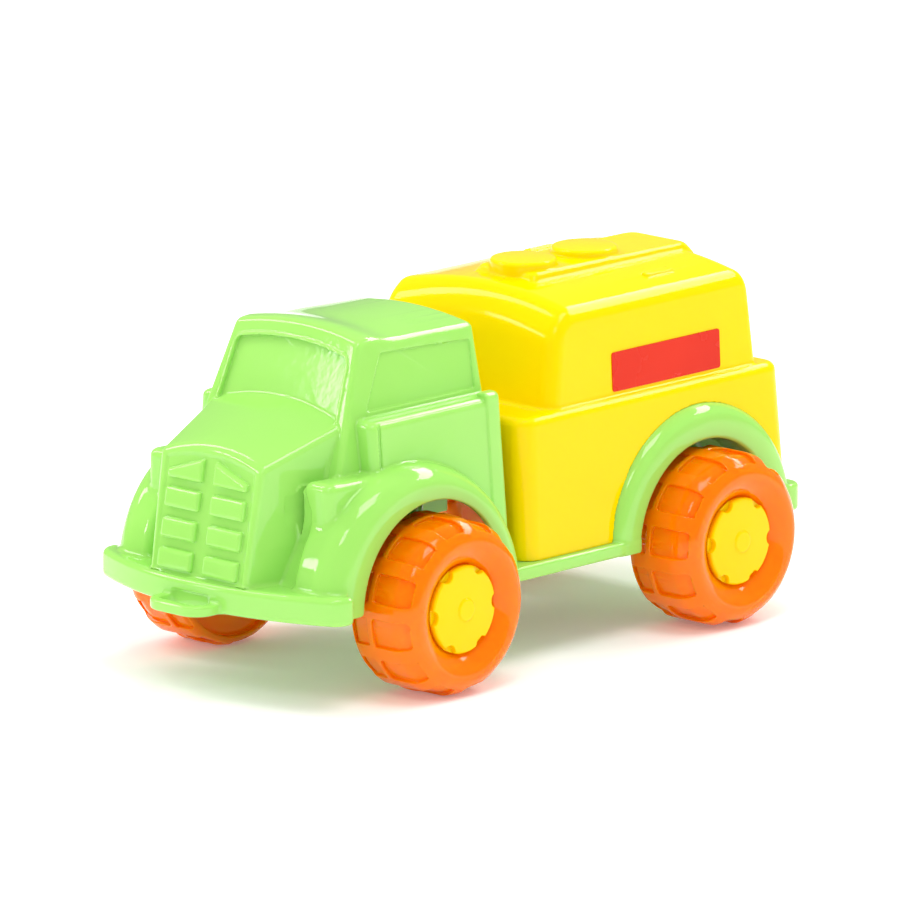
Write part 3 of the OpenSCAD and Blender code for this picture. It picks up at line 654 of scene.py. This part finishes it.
def tyre(x, y, z):
    """A tyre on the X axis, inner face at x = 0: an open cup with a rolled side wall."""
    r = np.hypot(y, z)
    w = TYRE_W
    outer = rmax(r - TYRE_R, x - w, TYRE_SHOULDER_R)
    outer = rmax(outer, -x, 4.0)
    # dished seat of the hub
    seat = w - 4.6
    dish = np.maximum(plane(r, x, (HUB_R + 0.2, seat), (HUB_R + 3.6, w)), seat - x)
    solid = cut(outer, dish, 4.5)
    # tread: two rows of shallow pockets, the outer row wrapped over the shoulder
    pitch = 2 * math.pi / POCKETS
    turn = np.arctan2(z, y) / pitch
    along = (turn - np.floor(turn) - 0.5) * pitch * TYRE_R
    rows = np.minimum(
        rect(along, x - 4.7, 4.2, 3.2, 0.8),
        rect(along, x - 15.8, 4.2, 6.1, 1.0),
    )
    pocket = np.maximum(rows, -(outer + POCKET_DEPTH))
    pocket = np.maximum(pocket, 17 - r)
    solid = rmax(solid, -pocket, 0.3)
    # hollow, open on the inner side, with a sleeve round the hub's boss
    hollow = rmax(r - TYRE_R + TREAD_WALL, x - (w - 6.6), 5)
    hollow = np.maximum(hollow, 7.1 - r)
    solid = cut(solid, np.maximum(hollow, -(outer + 2.2) - 2 * (x < 2)), 0.6)
    solid = np.maximum(solid, -np.maximum(r - 7.2, x - seat + 8))
    return np.maximum(solid, -np.maximum(r - 5.1, x - w))


def hub(x, y, z):
    """The yellow disc with six scallops in its rim, a low boss and the tube on the axle."""
    r = np.hypot(y, z)
    seat = TYRE_W - 4.5
    face = seat + 2.4 - 0.0035 * r**2
    d = rmax(r - HUB_R, x - face, 0.8)
    d = np.maximum(d, seat - x)
    pitch = 2 * math.pi / SCALLOPS
    turn = np.arctan2(z, y) / pitch
    a = (turn - np.floor(turn) - 0.5) * pitch
    u, v = r * np.cos(a), r * np.sin(a)
    scallop = np.hypot(u - HUB_R - 0.4, v) - SCALLOP_R
    d = cut(d, np.maximum(scallop, seat + 0.4 - x), 0.25)
    boss = rmax(r - HUB_BOSS_R, x - face - 0.5, 0.45)
    d = rmin(d, np.maximum(boss, seat - x), 0.4)
    tube = np.maximum(r - HUB_TUBE_R, slab(x, 1.2, seat + 0.5))
    d = np.minimum(d, tube)
    return np.maximum(d, -np.maximum(r - HUB_BORE_R, x - 18.5))


# ---------------------------------------------------------------- materials


def principled(name):
    material = bpy.data.materials.new(name)
    material.use_nodes = True
    nodes, links = material.node_tree.nodes, material.node_tree.links
    shader = nodes["Principled BSDF"]
    return material, nodes, links, shader


def plastic(
    name, colour, deep, rough=0.05, scatter=0.35, reach=(1.0, 1.0, 1.0), shine=0.5, depth=0.0025
):
    """Glossy moulded polypropylene: faint flow clouds, orange peel and handling scuffs."""
    material, nodes, links, shader = principled(name)
    place = nodes.new("ShaderNodeTexCoord").outputs["Object"]

    def noise(scale, detail, distortion=0.0):
        node = nodes.new("ShaderNodeTexNoise")
        node.inputs["Scale"].default_value = scale
        node.inputs["Detail"].default_value = detail
        node.inputs["Distortion"].default_value = distortion
        links.new(place, node.inputs["Vector"])
        return node.outputs["Fac"]

    tint = nodes.new("ShaderNodeValToRGB")
    tint.color_ramp.elements[0].position = 0.3
    tint.color_ramp.elements[0].color = (*deep, 1)
    tint.color_ramp.elements[1].position = 0.7
    tint.color_ramp.elements[1].color = (*colour, 1)
    links.new(noise(22, 3, 0.6), tint.inputs["Fac"])
    links.new(tint.outputs["Color"], shader.inputs["Base Color"])

    gloss = nodes.new("ShaderNodeMapRange")
    gloss.inputs["From Min"].default_value = 0.35
    gloss.inputs["From Max"].default_value = 0.75
    gloss.inputs["To Min"].default_value = rough * 0.85
    gloss.inputs["To Max"].default_value = rough * 1.5
    links.new(noise(60, 6, 0.2), gloss.inputs["Value"])
    links.new(gloss.outputs["Result"], shader.inputs["Roughness"])

    peel = nodes.new("ShaderNodeBump")
    peel.inputs["Strength"].default_value = 0.05
    peel.inputs["Distance"].default_value = 0.0002
    links.new(noise(420, 2), peel.inputs["Height"])
    sink = nodes.new("ShaderNodeBump")
    sink.inputs["Strength"].default_value = 0.06
    sink.inputs["Distance"].default_value = 0.001
    links.new(noise(38, 1), sink.inputs["Height"])
    links.new(peel.outputs["Normal"], sink.inputs["Normal"])
    links.new(sink.outputs["Normal"], shader.inputs["Normal"])

    shader.inputs["IOR"].default_value = 1.49
    shader.inputs["Specular IOR Level"].default_value = shine
    shader.inputs["Subsurface Weight"].default_value = scatter
    shader.inputs["Subsurface Radius"].default_value = reach
    shader.inputs["Subsurface Scale"].default_value = depth
    return material


def steel(name, rough):
    """Drawn or plated steel: fine lines along the stock and patchy dulling."""
    material, nodes, links, shader = principled(name)
    place = nodes.new("ShaderNodeTexCoord")
    stretch = nodes.new("ShaderNodeMapping")
    stretch.inputs["Scale"].default_value = (40, 900, 900)
    links.new(place.outputs["Object"], stretch.inputs["Vector"])
    lines = nodes.new("ShaderNodeTexNoise")
    lines.inputs["Scale"].default_value = 1.0
    lines.inputs["Detail"].default_value = 4
    links.new(stretch.outputs["Vector"], lines.inputs["Vector"])
    gloss = nodes.new("ShaderNodeMapRange")
    gloss.inputs["To Min"].default_value = rough * 0.7
    gloss.inputs["To Max"].default_value = rough * 1.5
    links.new(lines.outputs["Fac"], gloss.inputs["Value"])
    links.new(gloss.outputs["Result"], shader.inputs["Roughness"])
    tint = nodes.new("ShaderNodeValToRGB")
    tint.color_ramp.elements[0].color = (0.50, 0.50, 0.52, 1)
    tint.color_ramp.elements[1].color = (0.74, 0.75, 0.77, 1)
    links.new(lines.outputs["Fac"], tint.inputs["Fac"])
    links.new(tint.outputs["Color"], shader.inputs["Base Color"])
    bump = nodes.new("ShaderNodeBump")
    bump.inputs["Strength"].default_value = 0.1
    bump.inputs["Distance"].default_value = 0.0001
    links.new(lines.outputs["Fac"], bump.inputs["Height"])
    links.new(bump.outputs["Normal"], shader.inputs["Normal"])
    shader.inputs["Metallic"].default_value = 1.0
    return material


GREEN = plastic("green plastic", (0.36, 0.74, 0.145), (0.34, 0.72, 0.13))
YELLOW = plastic(
    "yellow plastic", (1.0, 0.68, 0.0), (0.98, 0.655, 0.0), reach=(1.0, 0.9, 0.1), shine=0.16
)
ORANGE = plastic(
    "orange plastic",
    (1.0, 0.215, 0.0),
    (0.98, 0.19, 0.0),
    scatter=0.8,
    reach=(2.5, 0.3, 0.1),
    shine=0.28,
    depth=0.006,
)
HUB_YELLOW = plastic(
    "hub yellow plastic", (1.0, 0.66, 0.0), (0.98, 0.63, 0.0), reach=(1.0, 0.9, 0.1), shine=0.16
)
LABEL_RED = plastic(
    "label red film", (0.72, 0.025, 0.004), (0.66, 0.018, 0.003), 0.22, 0.0, shine=0.2
)
AXLE_STEEL = steel("axle steel", 0.28)
SCREW_STEEL = steel("screw steel", 0.35)


def finish_piece(piece, material, body, slot, *nodes):
    piece.data.materials.clear()
    piece.data.materials.append(material)
    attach(piece, body)
    if nodes:
        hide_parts(*nodes)


# ---------------------------------------------------------------- making the pieces

# each body moulding: its shape, the box in mm that it is meshed in, the grid step, the triangle count
# and its looks
CAB_BOX = (-50, -101, 24), (50, -5, 106)
CHASSIS_BOX = (-52, -110, 16), (52, 110, 70)
TANK_BOX = (-43, -9, 24), (43, 109, 107)
mouldings = (
    ("cab_moulding", cab, CAB_BOX, 0.5, 84000, GREEN, "green_plastic", "cab_shell"),
    ("chassis_moulding", chassis, CHASSIS_BOX, 0.6, 76000, GREEN, "green_plastic", "chassis"),
    ("tank_moulding", tank, TANK_BOX, 0.6, 64000, YELLOW, "yellow_plastic", "tank_shell"),
)
for name, shape, box, step, triangles, material, slot, node in mouldings:
    piece = moulded(name, shape, *box, step, triangles)
    finish_piece(piece, material, "truck", slot, node)

tyre_mesh = moulded("tyre", tyre, (-1, -26, -26), (TYRE_W + 1, 26, 26), 0.4, 40000, False).data
hub_mesh = moulded("hub", hub, (0, -13.5, -13.5), (TYRE_W, 13.5, 13.5), 0.3, 16000, False).data
for master in ("tyre", "hub"):
    bpy.data.objects.remove(bpy.data.objects[master])


def wheel_part(mesh, kind, end, side, turn, material, slot):
    """A copy of a wheel part, mirrored for the right side, turned about its axle."""
    name = f"{end}_{side}_{kind}"
    mesh = mesh.copy()
    mesh.name = name
    n = len(mesh.vertices)
    verts = np.empty(3 * n)
    mesh.vertices.foreach_get("co", verts)
    verts = verts.reshape(-1, 3)
    normals = np.empty(3 * len(mesh.corner_normals))
    mesh.corner_normals.foreach_get("vector", normals)
    normals = normals.reshape(-1, 3)
    c, s = math.cos(turn), math.sin(turn)
    spin = np.array([[1, 0, 0], [0, c, -s], [0, s, c]])
    flip = 1 if side == "left" else -1
    verts = verts @ spin.T + np.array([TYRE_LOW[0], 0, 0]) / MM
    verts[:, 0] *= flip
    verts += np.array([0, AXLE_Y[end], AXLE_Z]) / MM
    normals = normals @ spin.T
    normals[:, 0] *= flip
    loops = np.empty(len(mesh.loops), np.int32)
    mesh.loops.foreach_get("vertex_index", loops)
    by_vertex = np.zeros((n, 3))
    by_vertex[loops] = normals
    mesh.vertices.foreach_set("co", verts.ravel())
    if flip < 0:
        mesh.flip_normals()
    mesh.update()
    mesh.normals_split_custom_set_from_vertices(by_vertex.astype(np.float32))
    piece = add(f"{name}_moulding", mesh)
    finish_piece(piece, material, f"{end}_wheels", slot, name)


# how far each tyre and its hub stand turned at rest, in radians
for end, side, turn, hub_turn in (
    ("front", "left", -0.08, 0.57),
    ("front", "right", 0.37, 0.70),
    ("rear", "left", 0.16, 0.46),
    ("rear", "right", 0.05, 0.20),
):
    wheel_part(tyre_mesh, "tyre", end, side, turn, ORANGE, "orange_plastic")
    wheel_part(hub_mesh, "hub", end, side, hub_turn, HUB_YELLOW, "hub_plastic")
bpy.data.meshes.remove(tyre_mesh)
bpy.data.meshes.remove(hub_mesh)

for node, material in (
    ("front_axle", AXLE_STEEL),
    ("rear_axle", AXLE_STEEL),
    ("cab_screws", SCREW_STEEL),
    ("tank_screws", SCREW_STEEL),
    ("left_label", LABEL_RED),
    ("right_label", LABEL_RED),
):
    mesh = bpy.data.objects[node].data
    mesh.materials.clear()
    mesh.materials.append(material)


# ---------------------------------------------------------------- stage, light and camera


def area_light(name, towards, distance, size, power, aim=(0, 0, 0.05)):
    """A soft box in a direction from the aim point, facing it."""
    data = bpy.data.lights.new(name, "AREA")
    data.shape = "RECTANGLE"
    data.size, data.size_y = size
    data.energy = power
    light = add(name, data)
    direction = Vector(towards).normalized()
    light.location = Vector(aim) + direction * distance
    light.rotation_euler = direction.to_track_quat("Z", "Y").to_euler()


SURROUND_MATT, SURROUND_GLOSS = 0.84, 0.30


def studio_world():
    """An even white surround that shows less in gloss than in matt shading."""
    world = bpy.data.worlds.new("studio")
    world.use_nodes = True
    nodes, links = world.node_tree.nodes, world.node_tree.links
    ray = nodes.new("ShaderNodeLightPath")
    level = nodes.new("ShaderNodeMapRange")
    level.inputs["To Min"].default_value = SURROUND_MATT
    level.inputs["To Max"].default_value = SURROUND_GLOSS
    links.new(ray.outputs["Is Glossy Ray"], level.inputs["Value"])
    links.new(level.outputs["Result"], nodes["Background"].inputs["Strength"])
    nodes["Background"].inputs["Color"].default_value = (1, 1, 1, 1)
    bpy.context.scene.world = world


FLOOR_HALF, FLOOR_GLOW = 6.0, 0.13


def stage_and_light():
    size = FLOOR_HALF
    verts = np.array([[-size, -size, 0], [size, -size, 0], [size, size, 0], [-size, size, 0]]) * MM
    floor = add("floor", mesh_of("floor", verts, np.array([[0, 1, 2, 3]])))
    material, nodes, links, shader = principled("pale floor")
    noise = nodes.new("ShaderNodeTexNoise")
    noise.inputs["Scale"].default_value = 3
    tint = nodes.new("ShaderNodeValToRGB")
    tint.color_ramp.elements[0].color = (0.95, 0.95, 0.95, 1)
    tint.color_ramp.elements[1].color = (0.97, 0.97, 0.97, 1)
    links.new(noise.outputs["Fac"], tint.inputs["Fac"])
    links.new(tint.outputs["Color"], shader.inputs["Base Color"])
    shader.inputs["Roughness"].default_value = 0.6
    shader.inputs["Specular IOR Level"].default_value = 0.1
    # the table is lit a little from below
    shader.inputs["Emission Color"].default_value = (1, 1, 1, 1)
    shader.inputs["Emission Strength"].default_value = FLOOR_GLOW
    floor.data.materials.append(material)

    studio_world()
    area_light("overhead box", (0.30, -0.12, 0.93), 1.2, (0.45, 0.45), 4.0)
    area_light("front box", (0.38, -0.60, 0.70), 1.3, (0.22, 0.30), 1.4)
    area_light("back strip", (0.02, 0.74, 0.68), 1.2, (1.1, 0.22), 6.5)
    area_light("left strip", (-0.66, -0.28, 0.70), 1.2, (0.22, 0.9), 4.5)
    # the box that shows in the right half of the windscreen
    area_light("side box", (-0.60, -0.745, 0.305), 1.5, (0.30, 0.22), 2.0, (0.002, -0.061, 0.087))


AZIMUTH, ELEVATION = math.radians(43.602), math.radians(12.978)
DISTANCE, FOCAL_MM = 4.0276, 580.16
TARGET = Vector((0.0369, -0.0337, 0.0655))


def camera():
    data = bpy.data.cameras.new("camera")
    data.lens = FOCAL_MM
    data.sensor_width = 36
    data.clip_end = 100
    view = add("camera", data)
    back = Vector(
        (
            math.sin(AZIMUTH) * math.cos(ELEVATION),
            -math.cos(AZIMUTH) * math.cos(ELEVATION),
            math.sin(ELEVATION),
        )
    )
    view.location = TARGET + back * DISTANCE
    view.rotation_euler = back.to_track_quat("Z", "Y").to_euler()
    bpy.context.scene.camera = view


stage_and_light()
camera()
bpy.context.scene.view_settings.view_transform = "Standard"
